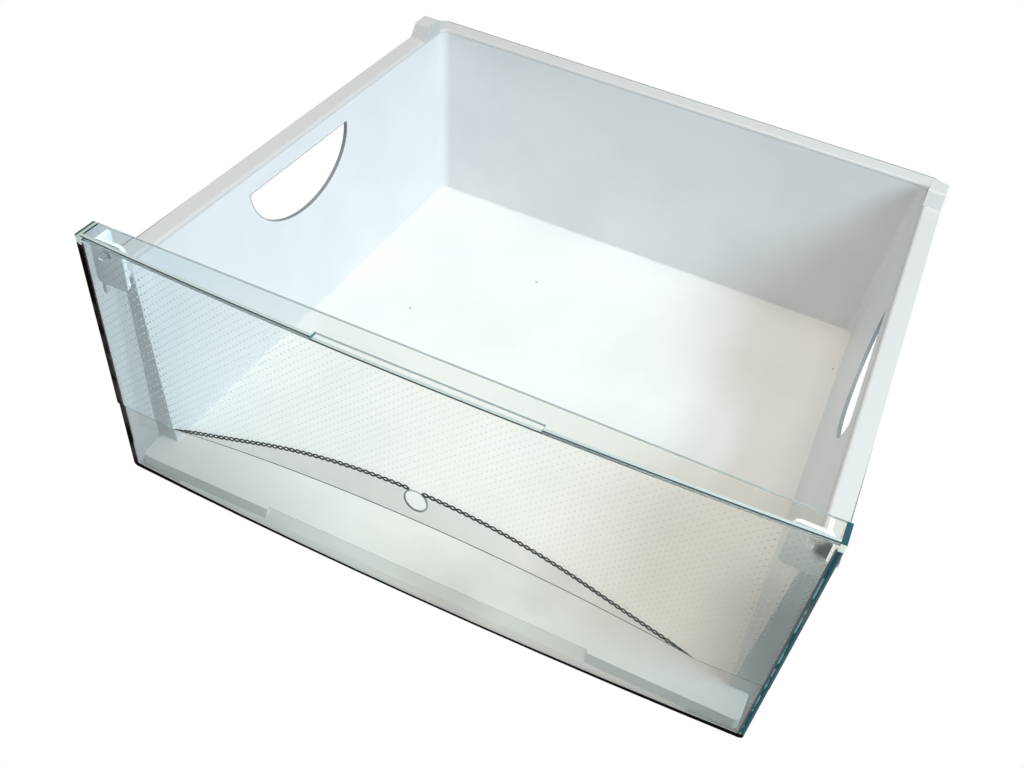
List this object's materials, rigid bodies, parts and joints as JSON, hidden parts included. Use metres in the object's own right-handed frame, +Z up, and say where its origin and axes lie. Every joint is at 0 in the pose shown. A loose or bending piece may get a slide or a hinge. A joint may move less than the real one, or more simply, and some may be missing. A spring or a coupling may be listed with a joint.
{
  "type": "fridge drawer",
  "caption": "Pull-out fridge drawer: white moulded tub with side rims, hand holes and rear stops, closed in front by a clear clip-on panel with an arched step.",
  "frame": {"origin": "middle of the base, on the surface that the drawer stands on", "axes": "+X to the right seen from the front, +Y from the front panel to the back, +Z up"},
  "size_m": [0.4608, 0.4376, 0.1955],
  "materials": {
    "white_tub": "smooth moulded white polystyrene",
    "clear_panel": "clear moulded polystyrene with a faint teal edge and a fine dot texture"
  },
  "bodies": {
    "root": {"tub": "white_tub", "front_panel": "clear_panel"}
  },
  "joints": []
}
